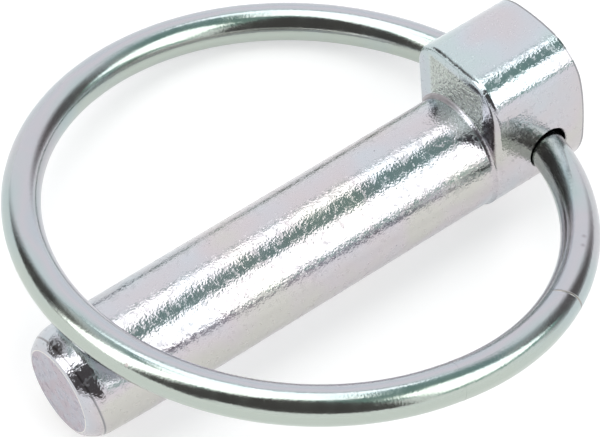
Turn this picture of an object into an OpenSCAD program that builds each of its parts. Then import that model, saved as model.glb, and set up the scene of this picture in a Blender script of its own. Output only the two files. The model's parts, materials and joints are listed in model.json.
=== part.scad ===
// Lynch pin: a forged pin with a one-sided head, and a wire ring that swings in the head's cross hole.
// Millimetres, +Z up. The pin lies as it comes to rest, rolled over until its ring touches the ground.
// The origin is on the bar's axis where the plain round shank begins, and +X runs towards the tip.

/* [Shank] */
// Diameter of the bar
shank_d = 10; // [8:0.1:12]
// Length from the head's shoulder to the end of the tip
shank_len = 40.6; // [36:0.1:50]
// Length of the slight lead-in taper behind the nose
lead_len = 3.4; // [2:0.1:6]
// How much the lead-in taper takes off the bar's radius
lead_drop = 0.1; // [0.05:0.05:0.3]
// Length of the rounded nose
tip_len = 2.2; // [1.5:0.1:3]
// How much the nose takes off the radius, down to the flat end
tip_drop = 1; // [0.4:0.1:1.2]
// Width of the broken edge around the flat end
tip_edge = 0.2; // [0.1:0.05:0.5]
// Fillet between the bar and the shoulder
shoulder_fillet = 0.4; // [0.3:0.1:1]

/* [Head] */
// Length from the shoulder to the crown of the domed end
head_len = 9.8; // [8.5:0.1:14]
// Height of the shoulder above the bar
shoulder_rise = 4.7; // [3:0.1:7]
// How far the head stands out from the bar at its sides and underside
head_over = 0.2; // [0.2:0.05:0.5]
// Radius of the two long top edges
head_top_r = 3.2; // [1:0.1:4]
// Radius of the edges around the shoulder
head_front_r = 0.5; // [0.2:0.1:0.6]
// Radius of the edges around the domed end
head_back_r = 0.9; // [0.4:0.1:1.5]
// Radius of the dome
head_dome_r = 25; // [15:1:60]

/* [Cross hole] */
// Distance from the shoulder to the middle of the wire in the hole
hole_back = 6; // [4.5:0.1:7]
// Height of that wire above the bar's axis
hole_rise = 0.5; // [-1:0.1:2]
// Angle by which the hole is drilled askew, so that the wire's ends leave it one behind the other
hole_skew = 8; // [4:0.5:12]
// Room around the wire, on the diameter
hole_clear = 0.45; // [0.35:0.05:0.8]
// How far the wire lies off the middle of the hole, both towards the shank and down
hole_seat = 0.1; // [0:0.02:0.12]
// Chamfer around each mouth of the hole
hole_chamfer = 0.12; // [0.1:0.02:0.4]

/* [Ring] */
// Diameter of the wire
wire_d = 3.25; // [2.5:0.05:4]
// Distance from the end of the tip to the middle of the wire that crosses it
ring_inset = 2.7; // [2.5:0.1:6]
// Gap between the closed ring and the bar
ring_gap = 0.1; // [0.05:0.05:0.3]
// Radius of the bend into the hole at the left side of the head, to the middle of the wire
bend_r = 4; // [3:0.1:6]
// Distance from the left side of the head to the start of that bend
bend_clear = 0.15; // [0.1:0.05:0.5]
// Distance inside the right side of the head at which the wire runs straight
run_in = 1; // [0.6:0.1:2]
// Straight length of wire between one radius and the next
wire_flat = 0.6; // [0.3:0.1:1.5]
// Gap between the two ends of the wire inside the hole
end_gap = 3; // [1:0.5:4]

/* [Hidden] */
$fn = 96;

// Bar and head
shank_r = shank_d / 2;
head_r = shank_r + head_over;
head_top = shank_r + shoulder_rise;
shoulder_x = -shoulder_fillet;
crown_x = shoulder_x - head_len;
tip_x = shoulder_x + shank_len;
nose_x = tip_x - tip_len;
lead_x = nose_x - lead_len;
lead_r = shank_r - lead_drop;
tip_r = lead_r - tip_drop;
nose_r = (pow(tip_len, 2) + pow(tip_drop, 2)) / (2 * tip_drop);
nose_slope = acos(tip_len / nose_r);

// How far the bar's root stays inside the round underside of the head
root_shy = 0.02;

// Cross hole, measured along its own axis
hole_d = wire_d + hole_clear;
hole_x = shoulder_x - hole_back;
face_v = head_r / cos(hole_skew);
bore_x = hole_x - hole_seat;
bore_z = hole_rise + hole_seat;

// Closed ring: where it crosses the bar, in the plane of the ring and from the middle of the hole
wire_r = wire_d / 2;
cross_dx = tip_x - ring_inset - hole_x;
cross_dz = shank_r + wire_r + ring_gap - hole_rise;
cross_u = norm([cross_dx * cos(hole_skew), cross_dz]);
cross_v = cross_dx * sin(hole_skew);
ring_tilt = atan2(cross_dz, cross_dx * cos(hole_skew));

// Where a falling function of one number crosses zero
function zero_of(f, low, high, steps = 40) =
    let (mid = (low + high) / 2)
    steps == 0 ? mid
    : f(mid) > 0 ? zero_of(f, mid, high, steps - 1)
    : zero_of(f, low, mid, steps - 1);

// Ring outline: a circle of ring_r about [ring_u, ring_v]. Its right end tightens until it runs straight
// into the hole, and its left end bends into the hole. ring_tuck is how far the circle would pass behind
// the hole, and bend_turn is the angle of the bend.
straight_v = face_v - run_in;
bend_v = -face_v - bend_clear;
function side_of(tuck) = straight_v - wire_flat - tuck;
function reach_of(tuck) =
    (pow(cross_u, 2) + pow(cross_v - side_of(tuck), 2) - pow(tuck, 2)) / (2 * (cross_u + tuck));
function arm_of(tuck) = reach_of(tuck) + tuck - bend_r;
function turn_of(tuck) =
    atan2(wire_flat, arm_of(tuck)) + acos((arm_of(tuck) - tuck) / norm([arm_of(tuck), wire_flat]));
function bend_left(tuck) =
    side_of(tuck) - arm_of(tuck) * sin(turn_of(tuck)) + wire_flat * cos(turn_of(tuck));
ring_tuck = zero_of(function (tuck) bend_left(tuck) - bend_v, 0.05, 8);
ring_u = reach_of(ring_tuck);
ring_v = side_of(ring_tuck);
ring_r = ring_u + ring_tuck;
bend_turn = turn_of(ring_tuck);
bend_end_u = ring_u - ring_r * cos(bend_turn);
bend_end_v = ring_v - ring_r * sin(bend_turn);

// How far a straight run of wire reaches into the arcs beside it, and how much thinner it is
run_lap = 0.15;
run_shy = 0.01;

// Roll at which the bar and the left side of the ring touch the ground together
ring_mid = [
    hole_x + ring_u * cos(ring_tilt) * cos(hole_skew) + ring_v * sin(hole_skew),
    ring_v * cos(hole_skew) - ring_u * cos(ring_tilt) * sin(hole_skew),
    hole_rise + ring_u * sin(ring_tilt)
];
ring_axis = [
    -sin(ring_tilt) * cos(hole_skew),
    sin(ring_tilt) * sin(hole_skew),
    cos(ring_tilt)
];
function ring_low(roll) =
    let (up = [0, sin(roll), cos(roll)])
    up * ring_mid - ring_r * sqrt(1 - pow(up * ring_axis, 2)) - wire_r;
rest_roll = zero_of(function (roll) ring_low(roll) + (shank_r + head_r) / 2, 0, 60);

// Turns the pin from head upright to how it lies at rest
module at_rest() {
    rotate([rest_roll, 0, 0])
        children();
}

// Corner piece that rounds off a corner lying in the first quadrant
module corner(r) {
    difference() {
        square(2 * r);
        circle(r);
    }
}

// Plate from x0 to x1 and y0 to y1, with its corners at x0 rounded by r0 and its corners at x1 by r1
module plate(x0, x1, y0, y1, r0, r1) {
    difference() {
        translate([x0, y0])
            square([x1 - x0, y1 - y0]);
        translate([x1 - r1, y1 - r1])
            corner(r1);
        translate([x1 - r1, y0 + r1])
            rotate(-90)
                corner(r1);
        translate([x0 + r0, y1 - r0])
            rotate(90)
                corner(r0);
        translate([x0 + r0, y0 + r0])
            rotate(180)
                corner(r0);
    }
}

// Half section of the bar, axis along Y. The edge of the flat end is broken at half the nose's slope
module bar_section() {
    intersection() {
        union() {
            polygon([
                [0, hole_x],
                [shank_r, hole_x],
                [shank_r, lead_x],
                [lead_r, nose_x],
                [tip_r / 2, nose_x],
                [tip_r / 2, tip_x + tip_len],
                [0, tip_x + tip_len]
            ]);
            translate([lead_r - nose_r, nose_x])
                circle(nose_r);
        }
        polygon([
            [0, hole_x],
            [shank_d, hole_x],
            [shank_d, tip_x - (shank_d - tip_r + tip_edge) * tan(nose_slope / 2)],
            [tip_r - tip_edge, tip_x],
            [0, tip_x]
        ]);
    }
}

// Round bar with its nose
module bar() {
    rotate([0, 90, 0])
        rotate_extrude()
            bar_section();
}

// Section across the head: flat sides and top, round underside, smaller all round by inset
module head_section(inset) {
    plate(-head_r + inset, head_top - inset, -head_r + inset, head_r - inset,
        head_r - inset, head_top_r - inset);
}

// The section above, drawn out along X
module along_x(x0, x1, inset) {
    translate([x0, 0, 0])
        rotate([0, -90, 0])
            mirror([0, 0, 1])
                linear_extrude(x1 - x0)
                    head_section(inset);
}

// Rounds off the shoulder along one of the two long top edges: 1 right, -1 left
module shoulder_edge(side) {
    translate([shoulder_x - head_front_r, side * (head_r - head_top_r), head_top - head_top_r])
        rotate([0, 90, 0])
            rotate([0, 0, side > 0 ? 90 : 180])
                rotate_extrude(angle = 90)
                    translate([head_top_r - head_front_r, 0])
                        corner(head_front_r);
}

// Forged head: its section, its outline from the side and from above, and the dome, all at once
module head() {
    difference() {
        intersection() {
            along_x(crown_x, shoulder_x, 0);
            rotate([90, 0, 0])
                translate([0, 0, -head_r])
                    linear_extrude(2 * head_r)
                        plate(crown_x, shoulder_x, -head_r, head_top, head_back_r, head_front_r);
            translate([0, 0, -head_r])
                linear_extrude(head_r + head_top)
                    plate(crown_x, shoulder_x, -head_r, head_r, head_back_r, head_front_r);
            translate([crown_x + head_dome_r, 0, (head_top - head_r) / 2])
                sphere(head_dome_r);
        }
        shoulder_edge(1);
        shoulder_edge(-1);
    }
}

// Fillet between the bar and the head: full size on the shoulder, and a low root around the underside
module fillet() {
    intersection() {
        rotate([0, 90, 0])
            rotate_extrude()
                difference() {
                    translate([shank_r - shoulder_fillet, shoulder_x - shoulder_fillet])
                        square(2 * shoulder_fillet);
                    translate([shank_r + shoulder_fillet, 0])
                        circle(shoulder_fillet);
                }
        union() {
            along_x(shoulder_x - shoulder_fillet, 0, head_front_r);
            rotate([0, 90, 0])
                translate([0, 0, shoulder_x - shoulder_fillet])
                    cylinder(h = 2 * shoulder_fillet, r = head_r - root_shy);
        }
    }
}

// Chamfer around the mouth of the hole at one side of the head: 1 right, -1 left
module hole_mouth(side) {
    translate([bore_x + side * head_r * tan(hole_skew), side * head_r, bore_z])
        rotate([-90 * side, 0, 0])
            translate([0, 0, -3 * hole_chamfer])
                cylinder(
                    h = 4 * hole_chamfer,
                    d1 = hole_d - 4 * hole_chamfer,
                    d2 = hole_d + 4 * hole_chamfer
                );
}

// Cross hole with a chamfer at each mouth
module cross_hole() {
    translate([bore_x, 0, bore_z])
        rotate([0, 0, -hole_skew])
            rotate([90, 0, 0])
                cylinder(h = 4 * head_r, d = hole_d, center = true);
    hole_mouth(1);
    hole_mouth(-1);
}

module pin() {
    color("#c4c6cc")
        at_rest()
            difference() {
                union() {
                    bar();
                    head();
                    fillet();
                }
                cross_hole();
            }
}

// Arc of wire in the plane of the ring, about [u, v]
module wire_arc(u, v, r, from, turn) {
    translate([u, v, 0])
        rotate([0, 0, from])
            rotate_extrude(angle = turn)
                translate([r, 0])
                    circle(wire_r);
}

// Straight wire in the plane of the ring, from [u, v] and turned from the axis of the hole by heading.
// It is a hair thinner than the arcs and reaches into them, so that no two faces coincide.
module wire_run(u, v, heading, length) {
    translate([u, v, 0])
        rotate([0, 0, heading])
            rotate([-90, 0, 0])
                translate([0, 0, -run_lap])
                    cylinder(h = length + 2 * run_lap, r = wire_r - run_shy);
}

// Wire ring, closed on the shank, from its right end in the hole round to its left end
module ring() {
    color("#cdd3dc")
        at_rest()
            translate([hole_x, 0, hole_rise])
                rotate([0, 0, -hole_skew])
                    rotate([0, -ring_tilt, 0]) {
                        wire_run(0, end_gap / 2 + run_lap, 0, straight_v - end_gap / 2 - run_lap);
                        wire_arc(ring_u - wire_flat, straight_v, ring_u - wire_flat, 90, 90);
                        wire_run(ring_u, ring_v + ring_r, 90, wire_flat);
                        wire_arc(ring_u, ring_v, ring_r, bend_turn - 180, 270 - bend_turn);
                        wire_run(bend_end_u, bend_end_v, bend_turn, wire_flat);
                        wire_arc(bend_r, bend_v, bend_r, 180, bend_turn);
                        wire_run(0, bend_v, 0, -bend_v - end_gap / 2 - run_lap);
                    }
}

pin();
ring();
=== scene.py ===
# Lynch pin: zinc-plated finishes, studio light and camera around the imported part. Metres, +Z up.
import json
import math

import bpy
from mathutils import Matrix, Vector


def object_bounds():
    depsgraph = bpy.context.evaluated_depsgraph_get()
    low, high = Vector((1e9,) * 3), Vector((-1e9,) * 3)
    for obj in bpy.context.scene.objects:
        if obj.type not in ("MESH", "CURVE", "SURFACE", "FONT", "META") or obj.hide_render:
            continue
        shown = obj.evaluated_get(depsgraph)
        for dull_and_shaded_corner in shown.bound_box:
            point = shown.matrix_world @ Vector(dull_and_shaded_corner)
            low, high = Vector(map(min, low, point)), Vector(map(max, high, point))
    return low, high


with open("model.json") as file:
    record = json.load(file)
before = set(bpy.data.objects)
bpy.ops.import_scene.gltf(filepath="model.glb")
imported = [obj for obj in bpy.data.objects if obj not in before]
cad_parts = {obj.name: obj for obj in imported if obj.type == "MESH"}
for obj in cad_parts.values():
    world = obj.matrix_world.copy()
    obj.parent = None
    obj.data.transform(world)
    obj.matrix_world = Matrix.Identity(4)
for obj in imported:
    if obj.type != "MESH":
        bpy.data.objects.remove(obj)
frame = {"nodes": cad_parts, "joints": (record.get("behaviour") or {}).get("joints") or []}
cad_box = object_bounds()
MM = 0.001

# The pin lies rolled over about its bar. The hinge's axis has no rise while the head is upright.
hinge_axis = Vector(frame["joints"][0]["axis"])
REST_ROLL = math.atan2(-hinge_axis.z, -hinge_axis.y)

# Kinds of node that are used often. A soft range eases between its ends, and a mix of colours has them as its
# inputs 6 and 7.
MATH, VECTOR, RANGE = "ShaderNodeMath", "ShaderNodeVectorMath", "ShaderNodeMapRange"
NOISE, BUMP, MIX = "ShaderNodeTexNoise", "ShaderNodeBump", "ShaderNodeMix"
SOFT = {"interpolation_type": "SMOOTHSTEP"}
OF_COLOURS = {"data_type": "RGBA", "output": 2}


def linear(hex_colour):
    """Linear RGBA of an sRGB hex value."""
    parts = [int(hex_colour[i:i + 2], 16) / 255 for i in (1, 3, 5)]
    return [p / 12.92 if p <= 0.04045 else ((p + 0.055) / 1.055) ** 2.4 for p in parts] + [1.0]


def add(tree, kind, inputs=(), output=0, stops=(), **settings):
    """Adds one node with its settings, and gives one of its outputs. Inputs are in order, or by name or number
    in a dict, and each is a value or another node's output to link. A colour ramp also has stops, as (place, hex)
    pairs."""
    node = tree.nodes.new(kind)
    for name, value in settings.items():
        setattr(node, name, value)
    for socket, value in inputs.items() if isinstance(inputs, dict) else enumerate(inputs):
        if isinstance(value, bpy.types.NodeSocket):
            tree.links.new(value, node.inputs[socket])
        else:
            node.inputs[socket].default_value = value
    for i, (place, colour) in enumerate(stops):
        ramp = node.color_ramp.elements
        stop = ramp[i] if i < len(ramp) else ramp.new(place)
        stop.position, stop.color = place, linear(colour)
    return node.outputs[output] if node.outputs else node


def per_mm(size):
    """Scale of a pattern whose features are this many millimetres across."""
    return 1 / (size * MM)


def new_material(name):
    material = bpy.data.materials.new(name)
    material.use_nodes = True
    material.node_tree.nodes.clear()
    return material, material.node_tree


# Zinc-plated forging: bright zinc over a hot-forged, tumbled surface. The grain under the plating breaks up
# the edges of each reflection, and the passivation gives a faint lilac, blue and straw-coloured bloom. The
# middle of the shoulder keeps the coarse skin of the die. The plating in the corner below it is rougher, and
# that corner's colour is darkened with painted shade. The rim of the flat end carries a painted highlight, a
# bright band of colour. The brink of the domed end is a thin dull line.
# Places are given with the head upright. A pair is where a mask starts and where it is full.
SHOULDER_X, SHOULDER_REACH = -0.43 * MM, 0.06 * MM
SKIN_SIDE, SKIN_TOP = (3.7 * MM, 3.1 * MM), (8.9 * MM, 8.4 * MM)
CORNER_X, CORNER_REACH, CORNER_SIDE = -0.19 * MM, 0.2 * MM, (2.0 * MM, -1.5 * MM)
FLAT_END_X, RIM_R = 40.18 * MM, (3.66 * MM, 3.72 * MM)
DOME_MIDDLE, DOME_R = Vector((14.8, 0.0, 2.35)) * MM, 25 * MM
BRINK_INNER = (DOME_R - 0.22 * MM, DOME_R - 0.14 * MM)
BRINK_OUTER = (DOME_R - 0.03 * MM, DOME_R - 0.07 * MM)
FORGING_NOISES = [  # millimetres across, detail, roughness
    (7, 2, 0.5),  # cloud: drift of the bloom
    (1.4, 3, 0.6),  # patch: brighter and duller plating
    (2.2, 1, 0.5),  # ripple: unevenness of the forging
    (0.19, 1, 0.5),  # grain, drawn coarser than the real one, which is too fine to show
    (0.5, 1, 0.5),  # nicks: where the grain is strong and scuffed
    (0.42, 2, 0.65),  # pits of the die skin
]
RIPPLE_DEPTH, GRAIN_DEPTH, PIT_DEPTH = 0.03 * MM, 0.032 * MM, 0.3 * MM
SPECK_SPACING, SPECK_EDGE = 1.7, (0.05, 0.025)  # millimetres, and shares of that spacing
FORGING_BLOOM = [(0.3, "#b7c3c5"), (0.42, "#bbc1c7"), (0.54, "#bebdc2"), (0.68, "#c1bbbe"), (0.82, "#c0beb9")]


def zinc_plated_forging():
    material, tree = new_material("zinc_plated_forging")
    place = add(tree, "ShaderNodeTexCoord", output="Object")
    upright = add(tree, "ShaderNodeMapping", {"Vector": place, "Rotation": (REST_ROLL, 0, 0)},
                  vector_type="TEXTURE")
    ahead, aside, height = [add(tree, "ShaderNodeSeparateXYZ", (upright,), axis) for axis in "XYZ"]
    cloud, patch, ripple, grain, nicks, pits = [
        add(tree, NOISE, {"Vector": upright, "Scale": per_mm(size), "Detail": detail, "Roughness": roughness})
        for size, detail, roughness in FORGING_NOISES]

    # Die skin on the middle of the shoulder, and the corner below it: rougher plating, and painted shade that
    # fades to the right.
    skin = add(tree, MATH, (ahead, SHOULDER_X, SHOULDER_REACH), operation="COMPARE")
    off_middle = add(tree, MATH, (aside,), operation="ABSOLUTE")
    for value, limits in ((off_middle, SKIN_SIDE), (height, SKIN_TOP)):
        within = add(tree, RANGE, (value, *limits), **SOFT)
        skin = add(tree, MATH, (skin, within), operation="MULTIPLY")
    dull_and_shaded_corner = add(tree, MATH, (ahead, CORNER_X, CORNER_REACH), operation="COMPARE")
    fade = add(tree, RANGE, (aside, *CORNER_SIDE, 0.2, 1.0), **SOFT)
    dull_and_shaded_corner = add(tree, MATH, (dull_and_shaded_corner, fade), operation="MULTIPLY")

    # Flat end, a painted highlight on its rim, and the brink of the dome.
    tip = add(tree, MATH, (ahead, FLAT_END_X), operation="GREATER_THAN")
    off_axis = add(tree, VECTOR, (upright, (0, 1, 1)), operation="MULTIPLY")
    off_axis = add(tree, VECTOR, (off_axis,), "Value", operation="LENGTH")
    rim_band = add(tree, RANGE, (off_axis, *RIM_R), **SOFT)
    rim_highlight = add(tree, MATH, (tip, rim_band), operation="MULTIPLY")
    end = add(tree, MATH, (tip, rim_highlight), operation="SUBTRACT")
    from_dome = add(tree, VECTOR, (upright, DOME_MIDDLE), "Value", operation="DISTANCE")
    brink = [add(tree, RANGE, (from_dome, *limits), **SOFT) for limits in (BRINK_INNER, BRINK_OUTER)]
    brink = add(tree, MATH, brink, operation="MULTIPLY")

    # Bloom, warmer along the right side and on the bar, with the marks over it, and the painted shade in the
    # corner and the painted highlight on the rim.
    bloom = cloud
    for value, start, full, low, high in ((aside, 3.5, 5.2, 0.0, 0.2), (ahead, -1.0, 3.0, -0.04, 0.07)):
        warmer = add(tree, RANGE, (value, start * MM, full * MM, low, high), **SOFT)
        bloom = add(tree, MATH, (bloom, warmer), operation="ADD")
    colour = add(tree, "ShaderNodeValToRGB", (bloom,), stops=FORGING_BLOOM)
    blotch = add(tree, RANGE, (patch, 0.4, 0.6), **SOFT)
    blotchy = add(tree, MIX, {0: blotch, 6: linear("#aa9fa8"), 7: linear("#abaab4")}, **OF_COLOURS)
    near_speck = add(tree, "ShaderNodeTexVoronoi", {"Vector": upright, "Scale": per_mm(SPECK_SPACING)})
    specks = add(tree, RANGE, (near_speck, *SPECK_EDGE), **SOFT)
    for mask, paint in ((skin, linear("#c2c9c3")), (dull_and_shaded_corner, linear("#aba6a9")), (end, blotchy),
                        (brink, linear("#8f8e91")), (specks, linear("#8b8a90")), (rim_highlight, linear("#dedbd4"))):
        colour = add(tree, MIX, {0: mask, 6: colour, 7: paint}, **OF_COLOURS)

    # Relief: ripple and grain all over, and pits in the die skin and faintly in the flat end.
    grainy = add(tree, RANGE, (nicks, 0.35, 0.65, 0.35, 1.0), **SOFT)
    pitted = add(tree, MATH, (end, 0.12, skin), operation="MULTIPLY_ADD")
    relief = add(tree, BUMP, {"Height": ripple, "Strength": 1.0, "Distance": RIPPLE_DEPTH})
    for pattern, strength, depth in ((grain, grainy, GRAIN_DEPTH), (pits, pitted, PIT_DEPTH)):
        relief = add(tree, BUMP, {"Height": pattern, "Strength": strength, "Distance": depth, "Normal": relief})

    dullness = add(tree, RANGE, (patch, 0.3, 0.7, 0.1, 0.17), **SOFT)
    for mask, more in ((dull_and_shaded_corner, 0.25), (skin, 0.1), (end, 0.1)):
        dullness = add(tree, MATH, (mask, more, dullness), operation="MULTIPLY_ADD")
    scuffs = add(tree, RANGE, (nicks, 0.55, 0.7, 0.0, 0.2), **SOFT)
    dullness = add(tree, MATH, (dullness, scuffs), operation="ADD")

    zinc = add(tree, "ShaderNodeBsdfPrincipled", {"Base Color": colour, "Metallic": 1.0, "Roughness": dullness,
                                                  "Normal": relief})
    add(tree, "ShaderNodeOutputMaterial", (zinc,))
    return material


# Zinc-plated wire: bright zinc over drawn spring wire. The drawn skin is smooth, so reflections run along the
# ring as clean streaks with a fine fringe. The passivation is lilac on one side of the wire and green on the
# other. One crease crosses the wire where it was gripped, and there are a pip of plating near the tip and two
# dark specks beside the head.
RING_MIDDLE, RING_R = Vector((14.834, -1.794, 3.157)) * MM, 22.91 * MM
RING_AXIS, RING_SIDE = (-0.1404, -0.2532, 0.9572), (0.72, 0.69, 0.0)
CREASE, CREASE_WAY = Vector((4.517, 19.095, 8.532)) * MM, (-0.7055, -0.6784, -0.2048)
CREASE_WIDTH, CREASE_LENGTH = (0.14 * MM, 0.04 * MM), (2.0 * MM, 1.2 * MM)
PIP, PIP_EDGE = Vector((37.52, 4.71, 9.05)) * MM, (0.2 * MM, 0.1 * MM)
WIRE_SPECKS = [Vector((-0.3, 14.82, 7.02)) * MM, Vector((0.45, 15.52, 7.32)) * MM]
WIRE_SPECK_EDGE = (0.3 * MM, 0.04 * MM)
BLOOM_REACH = 1.4 * MM  # to each side of the wire's middle line
WIRE_NOISES = [  # millimetres across, detail, roughness
    (6, 2, 0.5),  # cloud: drift of the bloom
    (1.5, 3, 0.6),  # patch: brighter and duller plating
    (0.2, 1, 0.5),  # grain, drawn coarser than the real one, which is too fine to show
]
WIRE_GRAIN_DEPTH, CREASE_DEPTH = 0.007 * MM, 0.02 * MM
WIRE_BLOOM = [(0.1, "#b1aeb7"), (0.32, "#adb3b9"), (0.5, "#b5b4b9"), (0.72, "#abb7b8"), (0.95, "#b2bab2")]


def zinc_plated_wire():
    material, tree = new_material("zinc_plated_wire")
    place = add(tree, "ShaderNodeTexCoord", output="Object")
    cloud, patch, grain = [
        add(tree, NOISE, {"Vector": place, "Scale": per_mm(size), "Detail": detail, "Roughness": roughness})
        for size, detail, roughness in WIRE_NOISES]

    # How far to one side of the wire's middle line a point is.
    out = add(tree, VECTOR, (place, RING_MIDDLE), operation="SUBTRACT")
    off_plane = add(tree, VECTOR, (out, RING_AXIS), operation="PROJECT")
    out = add(tree, VECTOR, (out, off_plane), operation="SUBTRACT")
    way = add(tree, VECTOR, (out,), operation="NORMALIZE")
    facing = add(tree, VECTOR, (way, RING_SIDE), "Value", operation="DOT_PRODUCT")
    radius = add(tree, VECTOR, (out,), "Value", operation="LENGTH")
    off_line = add(tree, MATH, (radius, RING_R), operation="SUBTRACT")
    sideways = add(tree, MATH, (facing, off_line), operation="MULTIPLY")

    near_crease, near_pip, *near_specks = [
        add(tree, VECTOR, (place, spot), "Value", operation="DISTANCE") for spot in (CREASE, PIP, *WIRE_SPECKS)]
    across = add(tree, VECTOR, (place, CREASE), operation="SUBTRACT")
    across = add(tree, VECTOR, (across, CREASE_WAY), "Value", operation="DOT_PRODUCT")
    across = add(tree, MATH, (across,), operation="ABSOLUTE")
    crease = [add(tree, RANGE, (value, *limits), **SOFT)
              for value, limits in ((across, CREASE_WIDTH), (near_crease, CREASE_LENGTH))]
    crease = add(tree, MATH, crease, operation="MULTIPLY")
    pip = add(tree, RANGE, (near_pip, *PIP_EDGE), **SOFT)
    specks = [add(tree, RANGE, (near, *WIRE_SPECK_EDGE), **SOFT) for near in near_specks]

    by_side = add(tree, RANGE, (sideways, -BLOOM_REACH, BLOOM_REACH, -0.25, 0.75), **SOFT)
    bloom = add(tree, MATH, (cloud, 0.5, by_side), operation="MULTIPLY_ADD")
    colour = add(tree, "ShaderNodeValToRGB", (bloom,), stops=WIRE_BLOOM)
    for mask, paint in [(crease, "#a19c97"), (pip, "#bdb6b4")] + [(speck, "#a19fa4") for speck in specks]:
        colour = add(tree, MIX, {0: mask, 6: colour, 7: linear(paint)}, **OF_COLOURS)

    relief = add(tree, BUMP, {"Height": grain, "Strength": 1.0, "Distance": WIRE_GRAIN_DEPTH})
    relief = add(tree, BUMP, {"Height": crease, "Strength": 1.0, "Distance": CREASE_DEPTH, "Normal": relief})

    marks = add(tree, MATH, (crease, pip), operation="ADD")
    dullness = add(tree, RANGE, (patch, 0.3, 0.7, 0.12, 0.2), **SOFT)
    dullness = add(tree, MATH, (marks, 0.2, dullness), operation="MULTIPLY_ADD")

    zinc = add(tree, "ShaderNodeBsdfPrincipled", {"Base Color": colour, "Metallic": 1.0, "Roughness": dullness,
                                                  "Normal": relief})
    add(tree, "ShaderNodeOutputMaterial", (zinc,))
    return material


def dress(node, material):
    """Puts a material on every slot of a CAD node."""
    mesh = frame["nodes"][node].data
    if not mesh.materials:
        mesh.materials.append(material)
    for slot in frame["nodes"][node].material_slots:
        slot.material = material


dress("pin", zinc_plated_forging())
dress("ring", zinc_plated_wire())


# Floor: a plain white table that glows a little, so that shadows stay faint.
def white_table():
    material, tree = new_material("white_table")
    matt = add(tree, "ShaderNodeBsdfPrincipled", {"Base Color": linear("#d0d0d0"), "Roughness": 0.9,
                                                  "Specular IOR Level": 0.0,
                                                  "Emission Color": linear("#ffffff"),
                                                  "Emission Strength": 0.5})
    add(tree, "ShaderNodeOutputMaterial", (matt,))
    return material


bpy.ops.object.select_all(action="DESELECT")
bpy.ops.mesh.primitive_plane_add(size=3.0, location=(0, 0, cad_box[0][2]))
floor = bpy.context.object
floor.name = "floor"
floor.data.materials.append(white_table())


def toward(azimuth, elevation):
    """Unit vector, with the azimuth from +X towards +Y."""
    a, e = math.radians(azimuth), math.radians(elevation)
    return Vector((math.cos(e) * math.cos(a), math.cos(e) * math.sin(a), math.sin(e)))


def panel(tree, way, azimuth, tilt, half, low, high, edge):
    """Mask of a flat panel in the world, which faces the object from an azimuth and a tilt above the ground.
    Half its width, its lower and upper limit and half its soft edge are angles from there."""
    ahead, aside, upward = [
        add(tree, VECTOR, (way, axis), "Value", operation="DOT_PRODUCT")
        for axis in (toward(azimuth, tilt), toward(azimuth + 90, 0), toward(azimuth, tilt + 90))]
    aside, upward = [add(tree, MATH, (value, ahead), operation="DIVIDE") for value in (aside, upward)]
    aside = add(tree, MATH, (aside,), operation="ABSOLUTE")
    mask = add(tree, MATH, (ahead, 0.0), operation="GREATER_THAN")
    for value, *limits in ((aside, half + edge, half - edge), (upward, low - edge, low + edge),
                           (upward, high + edge, high - edge)):
        outside, inside = [math.tan(math.radians(angle)) for angle in limits]
        within = add(tree, RANGE, (value, outside, inside), **SOFT)
        mask = add(tree, MATH, (mask, within), operation="MULTIPLY")
    return mask


# Studio: pale walls and a dim greenish ceiling, with softboxes and dark flags as panels. A later panel covers an
# earlier one, so a frame comes before its softbox.
WALL = ("#fdfdff", 1.24)
CEILING = ("#d6fff8", 0.38)
CEILING_RISE = (0.64, 0.82)
PANELS = [  # azimuth, tilt, half width, lower and upper limit, width of its soft edge, tint, radiance
    (-45, 69, 14, -10, 17, 2.5, "#ffffff", 2.5),  # softbox overhead
    (43, 0, 48, 17, 86, 2.5, "#fff5f7", 0.1),  # flags around the camera
    (8, 0, 14, 4, 30, 2.5, "#fff5f7", 0.1),
    (-60, 0, 20, -14, 36, 26, "#fff2ee", 0.1),  # soft flags beside the ring
    (173, 0, 23, 0, 42, 26, "#fff2f2", 0.18),
    (-112, 0, 34, 45, 74, 1, "#e4fffb", 0.5),  # frame, its softbox, and a tilted softbox above them
    (-112, 0, 31, 49, 71, 2.5, "#ffffff", 2.5),
    (-112, 60, 13, -5, 29, 2.5, "#ffffff", 2.5),
    (-25, 0, 14, 9, 62, 1.5, "#ffffff", 3.0),  # upright softbox
    (130, 0, 29, 19, 67, 1.5, "#d0fff2", 0.52),  # frame and its softbox
    (130, 0, 26, 27, 65, 2.5, "#ffffff", 2.6),
]


def glow(tint, radiance):
    """Light of a tint and radiance, as linear RGBA."""
    return [part * radiance for part in linear(tint)[:3]] + [1.0]


def studio():
    world = bpy.data.worlds.new("studio")
    bpy.context.scene.world = world
    world.use_nodes = True
    tree = world.node_tree
    tree.nodes.clear()
    way = add(tree, "ShaderNodeTexCoord", output="Generated")
    height = add(tree, "ShaderNodeSeparateXYZ", (way,), "Z")
    upper = add(tree, RANGE, (height, *CEILING_RISE), **SOFT)
    light = add(tree, MIX, {0: upper, 6: glow(*WALL), 7: glow(*CEILING)}, **OF_COLOURS)
    for *shape, edge, tint, radiance in PANELS:
        mask = panel(tree, way, *shape, edge / 2)
        light = add(tree, MIX, {0: mask, 6: light, 7: glow(tint, radiance)}, **OF_COLOURS)
    sky = add(tree, "ShaderNodeBackground", (light,))
    add(tree, "ShaderNodeOutputWorld", (sky,))


studio()

# Camera at the photograph's angle.
lens = bpy.data.cameras.new("camera")
lens.sensor_fit = "HORIZONTAL"
lens.sensor_width = 36
lens.lens = 202.324
lens.clip_start = 0.01
camera = bpy.data.objects.new("camera", lens)
bpy.context.scene.collection.objects.link(camera)
camera.location = Vector((117.135, 96.249, 236.813)) * MM
camera.rotation_euler = [math.radians(a) for a in (30.49, -5.5339, 143.1263)]
bpy.context.scene.camera = camera
bpy.context.scene.view_settings.view_transform = "Standard"
